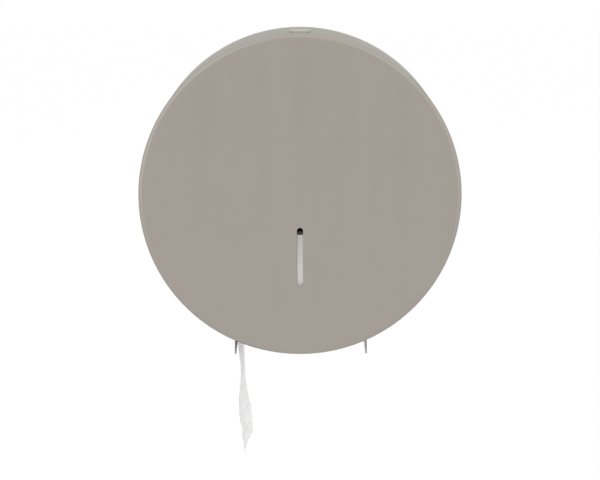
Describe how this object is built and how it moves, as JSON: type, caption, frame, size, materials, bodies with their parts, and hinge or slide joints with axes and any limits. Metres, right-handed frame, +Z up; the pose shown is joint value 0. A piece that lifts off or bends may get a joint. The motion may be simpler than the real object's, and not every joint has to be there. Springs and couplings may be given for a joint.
{
  "type": "jumbo toilet roll dispenser",
  "caption": "Round wall-mounted steel dispenser for a large paper roll, with a drum cover hinged at its foot, a cam lock on top, a turning hub and toothed tear blades.",
  "frame": {"origin": "on the drum's axis, in the wall plane, at the centre of the four wall holes", "axes": "+Z up, +Y into the wall, so the front faces -Y, and +X to the right as seen from the front"},
  "size_m": [0.31, 0.12, 0.4113],
  "materials": {
    "drum_steel": "satin stainless sheet with a fine straight grain on the front and a grain round the side",
    "blade_steel": "satin stainless sheet",
    "plate_steel": "plain stainless sheet, as rolled",
    "pin_steel": "turned steel",
    "lock_chrome": "plated, slightly worn",
    "hub_plastic": "black moulded plastic",
    "core_card": "grey-brown spiral-wound board",
    "tissue": "soft white tissue"
  },
  "bodies": {
    "wall_unit": {"back_plate": "plate_steel", "spindle_flange": "plate_steel", "spindle_axle": "pin_steel", "spindle_washer": "pin_steel", "spindle_nut": "pin_steel", "spindle_rivets": "pin_steel", "latch_arm": "plate_steel", "latch_rivets": "pin_steel", "hinge_bracket_right": "plate_steel", "hinge_bracket_left": "plate_steel", "hinge_rivets": "pin_steel", "hinge_pin_right": "pin_steel", "hinge_pin_left": "pin_steel", "paper_tail": "tissue"},
    "hub": {"spindle_hub": "hub_plastic"},
    "roll": {"roll_core": "core_card", "roll_paper": "tissue"},
    "cover": {"cover_shell": "drum_steel", "tear_blade_right": "blade_steel", "tear_blade_left": "blade_steel", "cover_hinge_leaf_right": "plate_steel", "cover_hinge_leaf_left": "plate_steel", "lock_barrel": "lock_chrome", "lock_shim": "pin_steel", "lock_nut": "pin_steel"},
    "lock_cylinder": {"lock_plug": "lock_chrome", "lock_cam": "pin_steel", "cam_screw": "pin_steel"}
  },
  "joints": [
    {"name": "cover_hinge", "type": "hinge", "parent": "wall_unit", "child": "cover", "pos_m": [0, -0.0105, -0.147], "axis": [1, 0, 0], "range_deg": [0, 90], "deforming": ["paper_tail"]},
    {"name": "roll_spin", "type": "hinge", "parent": "wall_unit", "child": "roll", "pos_m": [0, -0.0675, -0.006], "axis": [0, -1, 0], "continuous": true},
    {"name": "hub_spin", "type": "hinge", "parent": "wall_unit", "child": "hub", "pos_m": [0, -0.0675, 0], "axis": [0, -1, 0], "continuous": true},
    {"name": "lock_turn", "type": "hinge", "parent": "cover", "child": "lock_cylinder", "pos_m": [0, -0.078, 0.14], "axis": [0, 0, -1], "range_deg": [0, 90]}
  ],
  "couplings": [
    {"joint": "hub_spin", "follows": "roll_spin", "ratio": 1.2658}
  ]
}
